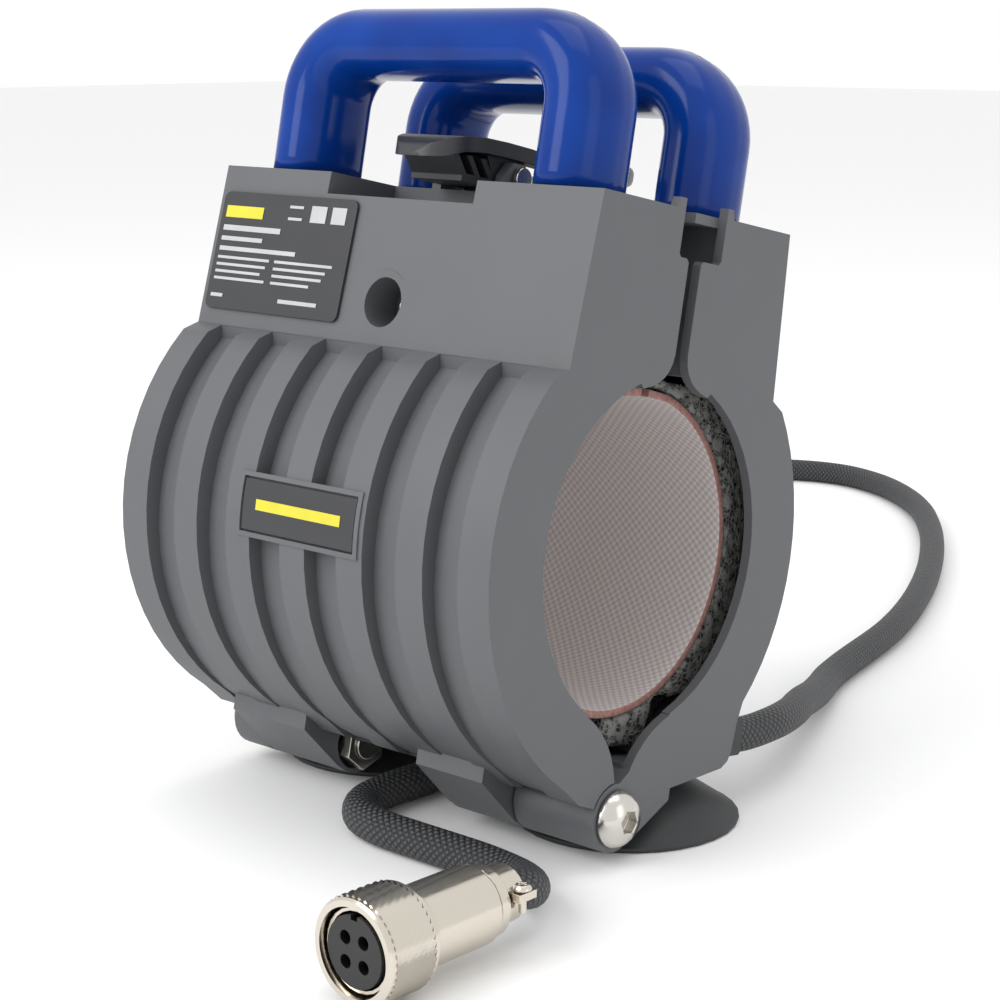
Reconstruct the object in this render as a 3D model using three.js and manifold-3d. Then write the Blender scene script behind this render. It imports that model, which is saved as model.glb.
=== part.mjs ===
// Mug heat press: two half shells hinged along the bottom, each lined with foam and a heating mat,
// with a lever latch across the top, two U handles, two suction feet and a cord with a round connector.
// Millimetres, +Z up. X runs along the mug's axis, -Y is the half with the label, +Y the half with the feet.
import * as THREE from 'three';
import { mergeVertices } from 'three/addons/utils/BufferGeometryUtils.js';
import Module from 'manifold-3d';

const wasm = await Module();
wasm.setup();

// Driving dimensions
const LENGTH = 126.8;
const LEAN = THREE.MathUtils.degToRad(-11.9);
const HINGE_HEIGHT = 12;
const GAP = 0.3;

const WALL = 2.4;
const END_WALL = 2.5;
const BARREL_RADIUS = 60.8;
const BARREL_Y = -4;
const BARREL_Z = 63.2;
const GROOVE_SHIFT_Y = -4.4;
const GROOVE_SHIFT_Z = -1.8;
const GROOVE_PITCH = 19.4;
const GROOVE_WIDTH = 10.8;
const GROOVES = 6;
const OPENING_RADIUS = 43;

const DECK_Z = 144;
const DECK_OUT = 36.2;
const PANEL_FOOT_Z = 103;
const PANEL_FOOT_OUT = 39.4;
const NOSE_OUT = 2.4;
const NOSE_TOP_Z = 132.8;
const FRONT_NOTCH_OUT = 6.3;
const REAR_NOTCH_OUT = 10;
const LIP_HEIGHT = 2.4;

const MAT_RADIUS = 38;
const MAT_THICK = 1.9;
const MAT_Z = 62;
const MAT_LENGTH = 109;
const PARTING_GAP = 1.3;

const KNUCKLE_RADIUS = 8.4;
const BOLT_RADIUS = 3.9;
const BORE_RADIUS = 4.2;

const HANDLE_OUT = 22.6;
const HANDLE_LEG_X = 44.3;
const HANDLE_TOP_Z = 178;
const HANDLE_THICK = 17;
const HANDLE_DEPTH = 25;
const HANDLE_BEND = 15;

const RECESS_Z = 138.5;
const FRONT_RECESS_HALF = 24.7;
const REAR_RECESS_HALF = 16;

const PIN_Y = -8;
const PIN_Z = 148.3;
const HUB_Y = 30;
const HUB_Z = 149.5;
const DISC_RADIUS = 13;

// The part's frame has its origin under the middle of the press, this far behind the hinge.
const MIDDLE_Y = 15.1;

const FOOT_X = 42.2;
const FOOT_Y = 30;
const FOOT_RADIUS = 28.6;
const FOOT_PAD_Z = 14.3;

const CORD_RADIUS = 4.5;
const CONNECTOR_X = 76;
const CONNECTOR_Z = 12.2;

const FRONT = -1;
const REAR = 1;

// Colours and finishes
const shellGrey = { color: 0x6f7174, roughness: 0.55, metalness: 0 };
const handleBlue = { color: 0x0b3fae, roughness: 0.18, metalness: 0 };
const blackPlastic = { color: 0x2b2c2e, roughness: 0.5, metalness: 0 };
const discGrey = { color: 0x5a5c5f, roughness: 0.5, metalness: 0 };
const rubberBlack = { color: 0x2a2b2c, roughness: 0.7, metalness: 0 };
const matPink = { color: 0xb5a3a0, roughness: 0.6, metalness: 0 };
const foamGrey = { color: 0x6a6a66, roughness: 0.95, metalness: 0 };
const stainless = { color: 0xc8c4bd, roughness: 0.25, metalness: 1 };
const nickel = { color: 0xcfc7b8, roughness: 0.22, metalness: 1 };
const labelBlack = { color: 0x26272a, roughness: 0.45, metalness: 0 };
const braidBlack = { color: 0x1f2022, roughness: 0.8, metalness: 0 };
const insulatorBlack = { color: 0x161616, roughness: 0.4, metalness: 0 };

// Solids

function solidOf(geometry) {
  const bare = geometry.index ? geometry.toNonIndexed() : geometry.clone();
  bare.deleteAttribute('normal');
  bare.deleteAttribute('uv');
  const merged = mergeVertices(bare, 1e-4);
  const mesh = new wasm.Mesh({
    numProp: 3,
    vertProperties: new Float32Array(merged.attributes.position.array),
    triVerts: new Uint32Array(merged.index.array),
  });
  mesh.merge();
  return new wasm.Manifold(mesh);
}

function geometryOf(solid) {
  const mesh = solid.getMesh();
  const geometry = new THREE.BufferGeometry();
  geometry.setAttribute('position', new THREE.BufferAttribute(mesh.vertProperties, 3));
  geometry.setIndex(new THREE.BufferAttribute(mesh.triVerts, 1));
  return geometry;
}

// An outline in the Y-Z plane, extruded along X from x0 to x1.
function alongX(shape, x0, x1, curveSegments = 16) {
  const depth = x1 - x0;
  const geometry = new THREE.ExtrudeGeometry(shape, { depth, bevelEnabled: false, curveSegments });
  const turn = new THREE.Matrix4().makeBasis(
    new THREE.Vector3(0, 1, 0),
    new THREE.Vector3(0, 0, 1),
    new THREE.Vector3(1, 0, 0),
  );
  geometry.applyMatrix4(turn);
  geometry.translate(x0, 0, 0);
  return solidOf(geometry);
}

function polygon(points) {
  return new THREE.Shape(points.map(([y, z]) => new THREE.Vector2(y, z)));
}

function box(x0, x1, y0, y1, z0, z1) {
  const geometry = new THREE.BoxGeometry(x1 - x0, y1 - y0, z1 - z0);
  geometry.translate((x0 + x1) / 2, (y0 + y1) / 2, (z0 + z1) / 2);
  return solidOf(geometry);
}

function cylinderX(radius, x0, x1, y, z, sides = 32) {
  const geometry = new THREE.CylinderGeometry(radius, radius, x1 - x0, sides);
  geometry.rotateZ(Math.PI / 2);
  geometry.translate((x0 + x1) / 2, y, z);
  return solidOf(geometry);
}

function cylinderY(radius, y0, y1, x, z, sides = 32) {
  const geometry = new THREE.CylinderGeometry(radius, radius, y1 - y0, sides);
  geometry.translate(x, (y0 + y1) / 2, z);
  return solidOf(geometry);
}

function cylinderZ(radius, z0, z1, x, y, sides = 32) {
  const geometry = new THREE.CylinderGeometry(radius, radius, z1 - z0, sides);
  geometry.rotateX(Math.PI / 2);
  geometry.translate(x, y, (z0 + z1) / 2);
  return solidOf(geometry);
}

// A turned solid: [radius, height] pairs from the axis back to the axis, about +Z.
function turned(profile, sides = 40) {
  const points = profile.map(([r, h]) => new THREE.Vector2(r, h));
  const geometry = new THREE.LatheGeometry(points, sides);
  geometry.rotateX(Math.PI / 2);
  return solidOf(geometry);
}

function joined(first, ...others) {
  return others.reduce((sum, next) => sum.add(next), first);
}

function cut(first, ...others) {
  return others.reduce((rest, next) => rest.subtract(next), first);
}

function node(name, solid, finish) {
  const mesh = new THREE.Mesh(geometryOf(solid), new THREE.MeshStandardMaterial(finish));
  mesh.name = name;
  return mesh;
}

// Outlines of a half, with out measured away from the parting plane and mirrored for the front half.

function arcPoints(cy, cz, radius, from, to, steps) {
  const points = [];
  for (let i = 0; i <= steps; i += 1) {
    const angle = THREE.MathUtils.degToRad(from + ((to - from) * i) / steps);
    points.push([cy + radius * Math.cos(angle), cz + radius * Math.sin(angle)]);
  }
  return points;
}

function quadPoints(a, b, c, steps) {
  const curve = new THREE.QuadraticBezierCurve(
    new THREE.Vector2(...a), new THREE.Vector2(...b), new THREE.Vector2(...c));
  return curve.getPoints(steps).map((p) => [p.x, p.y]);
}

function sided(points, side) {
  return polygon(points.map(([out, z]) => [side * out, z]));
}

// The outside of a half, from the top outer corner down the panel and the barrel to the hinge.
function outsidePoints(side) {
  const panel = [[DECK_OUT, DECK_Z], [PANEL_FOOT_OUT, PANEL_FOOT_Z]];
  if (side === FRONT) {
    const barrel = arcPoints(BARREL_Y, BARREL_Z, BARREL_RADIUS, 38, -66, 18);
    return [...panel, ...barrel, [14, 3.6], [7.5, 2.4]];
  }
  const barrel = arcPoints(BARREL_Y, BARREL_Z, BARREL_RADIUS, 38, -36, 14);
  const heel = [[43.9, 22], [43.2, 14.6], [42.2, 12.4], [40, 10.7], [14, 5.2], [7.5, 3.4]];
  return [...panel, ...barrel, ...heel];
}

function notchOut(side) {
  return side === FRONT ? FRONT_NOTCH_OUT : REAR_NOTCH_OUT;
}

// An end wall: the parting edge carries a notch, a nose, the flared lips and the mug's opening.
function endOutline(side) {
  const notch = notchOut(side);
  const lips = quadPoints([NOSE_OUT, 110.5], [NOSE_OUT + 0.6, 103.2], [12.4, 101.4], 6);
  const opening = arcPoints(BARREL_Y, BARREL_Z, OPENING_RADIUS, 66, -63, 18);
  const throat = quadPoints([15.6, 24.6], [5.2, 19.4], [2.2, 9], 6);
  return sided([
    ...outsidePoints(side),
    [2.2, 3],
    ...throat.reverse(),
    ...opening.reverse(),
    ...lips.reverse(),
    [NOSE_OUT, NOSE_TOP_Z - 0.9],
    [NOSE_OUT + 0.9, NOSE_TOP_Z],
    [notch - 0.8, NOSE_TOP_Z],
    [notch, NOSE_TOP_Z + 0.8],
    [notch, DECK_Z + LIP_HEIGHT],
    [notch + 2.2, DECK_Z + LIP_HEIGHT],
    [notch + 2.8, DECK_Z],
  ], side);
}

// Between the end walls the parting face stands back by one wall.
function middleOutline(side) {
  const notch = notchOut(side) + 2;
  return sided([
    ...outsidePoints(side),
    [3.2, 6],
    [3.2, 14],
    [NOSE_OUT + 1.8, 20],
    [NOSE_OUT + 1.8, NOSE_TOP_Z - 2],
    [notch, NOSE_TOP_Z - 2],
    [notch, DECK_Z],
  ], side);
}

function barrelCavity(side) {
  const wall = arcPoints(
    BARREL_Y + GROOVE_SHIFT_Y, BARREL_Z + GROOVE_SHIFT_Z, BARREL_RADIUS - WALL, 90, -58, 24);
  const kept = wall.filter(([, z]) => z < 108);
  return sided([[-20, 107], ...kept, [18.5, 12.5], [-20, 12.5]], side);
}

function upperCavity(side) {
  const inner = NOSE_OUT + 1.8 + WALL;
  const notch = notchOut(side) + 2 + WALL;
  return sided([
    [inner, 96],
    [PANEL_FOOT_OUT - WALL - 0.5, 96],
    [PANEL_FOOT_OUT - WALL, PANEL_FOOT_Z],
    [DECK_OUT - WALL, DECK_Z - WALL],
    [notch, DECK_Z - WALL],
    [notch, NOSE_TOP_Z - 2 - WALL],
    [inner, NOSE_TOP_Z - 2 - WALL],
  ], side);
}

// A groove is the space between the barrel's outside and the same circle moved inwards.
function grooveOutline(side) {
  const floor = arcPoints(
    BARREL_Y + GROOVE_SHIFT_Y, BARREL_Z + GROOVE_SHIFT_Z, BARREL_RADIUS, 39, -72, 18);
  const over = arcPoints(BARREL_Y, BARREL_Z, BARREL_RADIUS + 6, -72, 37.8, 6);
  return sided([...floor, ...over, [PANEL_FOOT_OUT + 0.2, PANEL_FOOT_Z - 0.2]], side);
}

function grooveCentres() {
  const first = (-GROOVE_PITCH * (GROOVES - 1)) / 2;
  return Array.from({ length: GROOVES }, (_, i) => first + i * GROOVE_PITCH);
}

const HALF = LENGTH / 2;
const FRONT_KNUCKLES = [[-51.5, -24], [16, 38]];
const REAR_KNUCKLES = [[-HALF, -52.1], [38.6, HALF]];

function shell(side) {
  const inner = HALF - END_WALL;
  let body = joined(
    alongX(endOutline(side), -HALF, -inner),
    alongX(endOutline(side), inner, HALF),
    cut(
      alongX(middleOutline(side), -inner - 0.01, inner + 0.01),
      alongX(barrelCavity(side), -HALF, HALF),
      alongX(upperCavity(side), -HALF, HALF),
    ),
  );
  const groove = grooveOutline(side);
  for (const x of grooveCentres()) {
    body = body.subtract(alongX(groove, x - GROOVE_WIDTH / 2, x + GROOVE_WIDTH / 2));
  }
  return knuckled(recessed(body, side), side);
}

// Knuckles grow from the shell's lower edge and clear the other half's knuckles.
function knuckled(body, side) {
  const own = side === FRONT ? FRONT_KNUCKLES : REAR_KNUCKLES;
  const other = side === FRONT ? REAR_KNUCKLES : FRONT_KNUCKLES;
  let result = body;
  for (const [x0, x1] of other) {
    const slot = cylinderX(KNUCKLE_RADIUS + 0.5, x0 - 0.4, x1 + 0.4, 0, 0, 28);
    result = result.subtract(slot);
  }
  for (const [x0, x1] of own) {
    const outline = [[0, -KNUCKLE_RADIUS], [6, -6.4], [20, 3.5], [20, 10.5], [4, 12], [0, KNUCKLE_RADIUS]];
    const web = sided(outline, side);
    result = joined(result, cylinderX(KNUCKLE_RADIUS, x0, x1, 0, 0, 28), alongX(web, x0, x1));
  }
  for (const [x0, x1] of [...own, ...other]) {
    result = result.subtract(cylinderX(BORE_RADIUS, x0 - 12, x1 + 12, 0, 0, 24));
  }
  return result.subtract(nutPockets());
}

// Room for the nuts on the inner ends of the bolts.
function nutPockets() {
  return joined(
    cylinderX(7.3, -27.3, -10, 0, 0, 24),
    cylinderX(7.3, 6, 19.3, 0, 0, 24),
  );
}

function recessed(body, side) {
  if (side === FRONT) {
    const half = FRONT_RECESS_HALF;
    const opened = body.subtract(box(-half, half, -DECK_OUT - 2, -13.5, RECESS_Z, DECK_Z + 4));
    const floor = box(-half - 1.8, half + 1.8, -DECK_OUT + 0.6, -11.6, RECESS_Z - 2, DECK_Z - 0.01);
    const hollow = box(-half, half, -DECK_OUT - 2, -13.5, RECESS_Z, DECK_Z + 4);
    return joined(opened, cut(floor, hollow));
  }
  const half = REAR_RECESS_HALF;
  const hollow = box(-half, half, 2, DECK_OUT - 2.6, RECESS_Z, DECK_Z + 4);
  const floor = box(-half - 1.8, half + 1.8, REAR_NOTCH_OUT + 2.2, DECK_OUT - 1, RECESS_Z - 2, DECK_Z - 0.01);
  return joined(body.subtract(hollow), cut(floor, hollow));
}

// Front shell: label seat, screw well and the badge frame that interrupts the grooves.
const PANEL_SLOPE = Math.atan2(PANEL_FOOT_OUT - DECK_OUT, DECK_Z - PANEL_FOOT_Z);
const SCREW_X = 1.6;
const SCREW_Z = 113.3;
const BADGE_X = 1.4;
const BADGE_ANGLE = -2;

function panelOut(z) {
  return DECK_OUT + ((DECK_Z - z) / (DECK_Z - PANEL_FOOT_Z)) * (PANEL_FOOT_OUT - DECK_OUT);
}

function badgeFrame() {
  return badgeBlock(BARREL_RADIUS + 0.4, BARREL_RADIUS - 6, 7.4, 20.9);
}

function badgeBlock(outTop, outFloor, halfAngle, halfWidth) {
  const ring = [
    ...arcPoints(BARREL_Y, BARREL_Z, outTop, BADGE_ANGLE + halfAngle, BADGE_ANGLE - halfAngle, 4),
    ...arcPoints(BARREL_Y, BARREL_Z, outFloor, BADGE_ANGLE - halfAngle, BADGE_ANGLE + halfAngle, 4),
  ];
  return alongX(sided(ring, FRONT), BADGE_X - halfWidth, BADGE_X + halfWidth);
}

function frontShell() {
  const boss = cylinderY(8, -PANEL_FOOT_OUT + 1.2, -PANEL_FOOT_OUT + 18, SCREW_X, SCREW_Z, 28);
  const well = cylinderY(6.1, -PANEL_FOOT_OUT - 4, -PANEL_FOOT_OUT + 12, SCREW_X, SCREW_Z, 28);
  const shank = cylinderY(2.3, -PANEL_FOOT_OUT, -PANEL_FOOT_OUT + 30, SCREW_X, SCREW_Z, 20);
  const seat = badgeBlock(BARREL_RADIUS + 3, BARREL_RADIUS - 0.9, 6.3, 19.6);
  const body = joined(shell(FRONT), badgeFrame(), boss, latchEars());
  const holes = joined(cylinderX(1.9, -13, 13, PIN_Y, PIN_Z, 20), ...handleScrewHoles(FRONT));
  return cut(body, well, shank, seat, holes);
}

// Ears on the front half's inner lip that carry the latch pin.
function latchEars() {
  const ear = polygon([
    [PIN_Y - 5.4, DECK_Z - 2], [PIN_Y - 5.2, PIN_Z], [PIN_Y - 2.6, PIN_Z + 3.5],
    [PIN_Y + 1.4, PIN_Z + 3.5], [PIN_Y + 3.2, PIN_Z + 1], [PIN_Y + 1.4, NOSE_TOP_Z + 6],
    [PIN_Y - 3.4, NOSE_TOP_Z + 6],
  ]);
  return joined(alongX(ear, 9, 12), alongX(ear, -12, -9));
}

function handleScrewHoles(side) {
  return [-HANDLE_LEG_X, HANDLE_LEG_X].map((x) => (
    cylinderZ(2.8, DECK_Z - 6, DECK_Z + 6, x, side * HANDLE_OUT, 20)
  ));
}

const GLAND_X = 55.4;
const GLAND_Z = 17;
const GLAND_FACE = 44.4;

// Clearance round the top of a foot, so that the hinge webs stay off it.
function footRoom(x) {
  const profile = [
    [0, -1], [FOOT_RADIUS + 1, -1], [FOOT_RADIUS + 1, 2.2], [27.2, 3.4], [23, 6.4], [18, 9.8],
    [13.4, 12.7], [10.3, 14.05], [0, 14.05],
  ];
  return upright(turned(profile, 32).translate([x, FOOT_Y, 0]));
}

function rearShell() {
  const glandBore = cylinderY(5.9, 24, 50, GLAND_X, GLAND_Z, 24);
  const seat = box(GLAND_X - 5.8, HALF - 1.6, GLAND_FACE - 0.4, 60, 12.6, 23.6);
  const footBores = [-FOOT_X, FOOT_X].map((x) => upright(cylinderZ(2.3, 6, 34, x, FOOT_Y, 20)));
  const rooms = [footRoom(-FOOT_X), footRoom(FOOT_X)];
  const catchBores = [-9.5, 9.5].map((x) => cylinderZ(1.4, 130, 142, x, 27, 16));
  const cover = polygon([[1, DECK_Z - WALL], [12.4, DECK_Z - WALL], [12.4, DECK_Z], [1, DECK_Z]]);
  const overhang = joined(
    alongX(cover, -HALF + END_WALL - 0.01, -REAR_RECESS_HALF),
    alongX(cover, REAR_RECESS_HALF, HALF - END_WALL + 0.01),
  );
  const body = joined(shell(REAR), overhang);
  return cut(body, glandBore, seat, ...rooms, ...footBores, ...catchBores, ...handleScrewHoles(REAR));
}

// Turns a solid given upright in the world into the leaning frame of the press.
function upright(solid) {
  return solid.translate([0, 0, -HINGE_HEIGHT]).rotate([THREE.MathUtils.radToDeg(-LEAN), 0, 0]);
}

// Linings

function heaterMat(side) {
  const inner = arcPoints(0, MAT_Z, MAT_RADIUS, 77, -88.2, 24);
  const outer = arcPoints(0, MAT_Z, MAT_RADIUS + MAT_THICK, -88.2, 78, 24);
  const flapInner = [PARTING_GAP, MAT_Z + MAT_RADIUS - 0.4];
  const flapOuter = [PARTING_GAP, MAT_Z + MAT_RADIUS + MAT_THICK - 0.4];
  return alongX(sided([flapInner, ...inner, ...outer, flapOuter], side), -MAT_LENGTH / 2, MAT_LENGTH / 2);
}

function foamPad(side) {
  const wall = arcPoints(
    BARREL_Y + GROOVE_SHIFT_Y, BARREL_Z + GROOVE_SHIFT_Z, BARREL_RADIUS - WALL - 0.7, 46, -52, 20);
  const bore = arcPoints(0, MAT_Z, MAT_RADIUS + MAT_THICK + GAP, -88.1, 84, 24);
  const top = [[PARTING_GAP, 103], [NOSE_OUT + 1.4, 104.2], [10.4, 104.4]];
  const bottom = [[20, 14.8], [PARTING_GAP, 14.8]];
  const outline = [...bore, ...top, ...wall, ...bottom];
  const pad = alongX(sided(outline, side), -MAT_LENGTH / 2, MAT_LENGTH / 2);
  if (side === FRONT) return pad;
  const heads = [-FOOT_X, FOOT_X].map((x) => upright(cylinderZ(5.2, 20, 31, x, FOOT_Y, 16)));
  return cut(pad, box(46.5, 56, 20, 40, 10, 27), ...heads);
}

// Handles: a U of oval tube that stands on the deck, screwed from below.

// A closed tube swept in the X-Z plane: rings of the oval at hand-spaced stations of the path.
function handle(side) {
  const y = side * HANDLE_OUT;
  const bend = HANDLE_BEND;
  const stations = [];
  const corner = (cx, from, to) => {
    for (let i = 0; i <= 5; i += 1) {
      const angle = THREE.MathUtils.degToRad(from + ((to - from) * i) / 5);
      const z = HANDLE_TOP_Z - bend + bend * Math.sin(angle);
      stations.push([cx + bend * Math.cos(angle), z, angle]);
    }
  };
  stations.push([-HANDLE_LEG_X, DECK_Z + GAP, Math.PI]);
  corner(-HANDLE_LEG_X + bend, 180, 90);
  corner(HANDLE_LEG_X - bend, 90, 0);
  stations.push([HANDLE_LEG_X, DECK_Z + GAP, 0]);
  const sides = 16;
  const rings = stations.map(([x, z, angle]) => ring(x, y, z, angle, sides));
  const legHoles = [-HANDLE_LEG_X, HANDLE_LEG_X].map((x) => (
    cylinderZ(2.8, DECK_Z - 2, DECK_Z + 16, x, y, 20)
  ));
  return cut(skinned(rings), ...legHoles);
}

function ring(x, y, z, angle, sides) {
  const points = [];
  for (let i = 0; i < sides; i += 1) {
    const turn = (2 * Math.PI * i) / sides;
    const across = superellipse(Math.cos(turn)) * (HANDLE_THICK / 2);
    const along = superellipse(Math.sin(turn)) * (HANDLE_DEPTH / 2);
    points.push([x + across * Math.cos(angle), y + along, z + across * Math.sin(angle)]);
  }
  return points;
}

function superellipse(value) {
  return Math.sign(value) * Math.abs(value) ** 0.85;
}

// A closed skin over rings of equal point counts, with flat ends.
function skinned(rings) {
  const sides = rings[0].length;
  const positions = rings.flat(2);
  const faces = [];
  for (let r = 0; r < rings.length - 1; r += 1) {
    for (let i = 0; i < sides; i += 1) {
      const a = r * sides + i;
      const b = r * sides + ((i + 1) % sides);
      faces.push(a, b, b + sides, a, b + sides, a + sides);
    }
  }
  const last = (rings.length - 1) * sides;
  for (let i = 1; i < sides - 1; i += 1) {
    faces.push(0, i + 1, i);
    faces.push(last, last + i, last + i + 1);
  }
  const geometry = new THREE.BufferGeometry();
  geometry.setAttribute('position', new THREE.Float32BufferAttribute(positions, 3));
  geometry.setIndex(faces);
  const solid = solidOf(geometry);
  if (solid.volume() > 0) return solid;
  const flipped = [];
  for (let i = 0; i < faces.length; i += 3) flipped.push(faces[i], faces[i + 2], faces[i + 1]);
  geometry.setIndex(flipped);
  return solidOf(geometry);
}

function handleScrew(side, x) {
  const shank = cylinderZ(2.4, DECK_Z - WALL - 1, DECK_Z + 14, x, side * HANDLE_OUT, 18);
  const head = cylinderZ(5, DECK_Z - WALL - 4.3, DECK_Z - WALL - GAP, x, side * HANDLE_OUT, 24);
  const socket = cylinderZ(2, DECK_Z - WALL - 5, DECK_Z - WALL - 2.4, x, side * HANDLE_OUT, 6);
  return cut(joined(head, shank), socket);
}

// Fasteners

function crossSlots(size, width, z0, z1) {
  return joined(box(-size, size, -width, width, z0, z1), box(-width, width, -size, size, z0, z1));
}

// A domed cross-slot screw along +Z with its head's seat at z = 0.
function crossScrew(headRadius, headHeight, shankRadius, length) {
  const profile = [
    [0, -length], [shankRadius, -length], [shankRadius, 0], [headRadius, 0],
    [headRadius, headHeight * 0.35], [headRadius * 0.72, headHeight * 0.85], [0, headHeight],
  ];
  const slots = crossSlots(headRadius * 0.55, headRadius * 0.13, headHeight * 0.3, headHeight * 2);
  return cut(turned(profile, 16), slots);
}

function panelScrew() {
  const seat = -PANEL_FOOT_OUT + 12 - GAP;
  return crossScrew(4.2, 2.8, 2, 14).rotate([90, 0, 0]).translate([SCREW_X, seat, SCREW_Z]);
}

// Button-head bolt along X, head outwards on the direction side.
function hingeBolt(direction, headSeat, tip) {
  const length = Math.abs(headSeat - tip);
  const profile = [
    [0, -length], [BOLT_RADIUS, -length], [BOLT_RADIUS, 0], [7, 0], [7, 0.9], [6.2, 2.4],
    [4.8, 3.7], [3, 4.3], [0, 4.4],
  ];
  const socket = cylinderZ(2.9, 1.6, 6, 0, 0, 6);
  const bolt = cut(turned(profile, 24), socket);
  return bolt.rotate([0, direction * 90, 0]).translate([headSeat, 0, 0]);
}

function hingeNut(x0, x1) {
  return cut(cylinderX(7, x0, x1, 0, 0, 6), cylinderX(BOLT_RADIUS + 0.1, x0 - 1, x1 + 1, 0, 0, 32));
}

// Latch

function latchLever() {
  const plate = polygon([
    [-35, 150.1], [-33.6, 152.6], [-31, 154.3], [-27, 155.5], [-21, 156.2], [-13, 156.4], [-4, 156.3],
    [4, 155.8], [13, 155.2], [13, 152.4], [4, 152.5], [-4, 152.6], [-13, 152.7], [-21, 152.5],
    [-27, 151.7], [-31.5, 149.8], [-34.6, 149.2],
  ]);
  const wide = alongX(plate, -11.5, 11.5);
  const plan = new THREE.Shape();
  plan.moveTo(-11.5, 13);
  plan.lineTo(-11.5, -23.5);
  plan.absarc(0, -23.5, 11.5, Math.PI, 2 * Math.PI, false);
  plan.lineTo(11.5, 13);
  const trim = new THREE.ExtrudeGeometry(plan, { depth: 30, bevelEnabled: false, curveSegments: 16 });
  trim.translate(0, 0, 135);
  const top = wide.intersect(solidOf(trim));
  const slot = box(-5.2, 5.2, PIN_Y - 4.2, 20, 140, 158);
  const cheek = polygon([
    [PIN_Y - 3.4, PIN_Z - 2.2], [PIN_Y + 1, PIN_Z - 3.1], [PIN_Y + 3.6, PIN_Z - 0.4],
    [PIN_Y + 5.4, 153], [PIN_Y - 9, 153], [PIN_Y - 6, PIN_Z - 0.4],
  ]);
  const cheeks = joined(alongX(cheek, 5.6, 8.6), alongX(cheek, -8.6, -5.6));
  const gussets = [-29, -24, -19].map((y) => (
    alongX(polygon([[y, 151.4], [y + 2, 151.6], [y + 6.4, 146.2], [y + 4.4, 146.2]]), -8.6, 8.6)
  ));
  const rail = alongX(polygon([[-24.8, 145], [-12.6, 145], [-12.6, 147], [-24.8, 147]]), -8.6, 8.6);
  const back = alongX(polygon([[-14.9, 145], [-12.6, 145], [-12.6, 153], [-14.9, 153]]), -8.6, 8.6);
  const body = joined(cut(top, slot), cheeks, rail, back, ...gussets);
  return body.subtract(cylinderX(2, -13, 13, PIN_Y, PIN_Z, 20));
}

function latchPin() {
  const pin = cylinderX(1.6, -13.2, 13.2, PIN_Y, PIN_Z, 20);
  const head = cylinderX(2.8, 12.4, 13.8, PIN_Y, PIN_Z, 20);
  const ring = cylinderX(2.6, -13.8, -12.8, PIN_Y, PIN_Z, 20);
  return joined(pin, head, ring);
}

function drawRod() {
  const run = Math.hypot(HUB_Y - PIN_Y, HUB_Z - PIN_Z);
  const tilt = THREE.MathUtils.radToDeg(Math.atan2(HUB_Z - PIN_Z, HUB_Y - PIN_Y));
  const shaft = cylinderY(2.5, 0, run, 0, 0, 20).rotate([tilt, 0, 0]).translate([0, PIN_Y, PIN_Z]);
  const eye = cylinderX(3.9, -4.9, 4.9, PIN_Y, PIN_Z, 28);
  const hub = cylinderZ(6, HUB_Z - 4.6, HUB_Z + 3.4, 0, HUB_Y, 28);
  const stub = cylinderZ(2.9, HUB_Z + 3.3, HUB_Z + 6.2, 0, HUB_Y, 20);
  const body = joined(shaft, eye, hub, stub);
  const thread = cylinderZ(1.35, HUB_Z - 1, HUB_Z + 8, 0, HUB_Y, 16);
  return cut(body, cylinderX(1.9, -6, 6, PIN_Y, PIN_Z, 20), thread);
}

function adjusterDisc() {
  const low = HUB_Z + 3.4 + GAP;
  const profile = [
    [0, 0], [DISC_RADIUS - 1.6, 0], [DISC_RADIUS - 0.3, 0.9], [DISC_RADIUS, 2], [DISC_RADIUS, 3.6],
    [DISC_RADIUS - 0.5, 4.8], [DISC_RADIUS - 1.9, 5.5], [4.4, 5.9], [0, 5.9],
  ];
  const disc = turned(profile, 32).translate([0, HUB_Y, low]);
  const bore = cylinderZ(3.2, low - 1, low + 3.2, 0, HUB_Y, 24);
  const well = cylinderZ(3, low + 4, low + 8, 0, HUB_Y, 24);
  const through = cylinderZ(1.7, low, low + 8, 0, HUB_Y, 20);
  return cut(disc, bore, well, through);
}

function adjusterScrew() {
  const low = HUB_Z + 3.4 + GAP + 4 + GAP;
  return crossScrew(2.7, 1.5, 1.2, 8.2).translate([0, HUB_Y, low]);
}

function catchPlate() {
  const base = RECESS_Z + GAP;
  const top = RECESS_Z + 2;
  const upright = polygon([[17.6, base], [21, base], [21, 144.3], [18.4, 144.3], [17.6, 143.4]]);
  const foot = polygon([[20.9, base], [31.5, base], [31.5, top], [20.9, top]]);
  const body = joined(alongX(upright, -13.5, 13.5), alongX(foot, -13.5, 13.5));
  const bores = [-9.5, 9.5].map((x) => cylinderZ(1.6, 136, 143, x, 27, 16));
  return cut(body, cylinderY(3, 15, 24, 0, 145.6, 24), ...bores);
}

function catchScrew(x) {
  return crossScrew(2.7, 1.3, 1.1, 6).translate([x, 27, RECESS_Z + 2 + GAP]);
}

// Plates

function badgePlate() {
  return badgeBlock(BARREL_RADIUS + 0.2, BARREL_RADIUS - 0.6, 5.9, 19.2);
}

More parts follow.
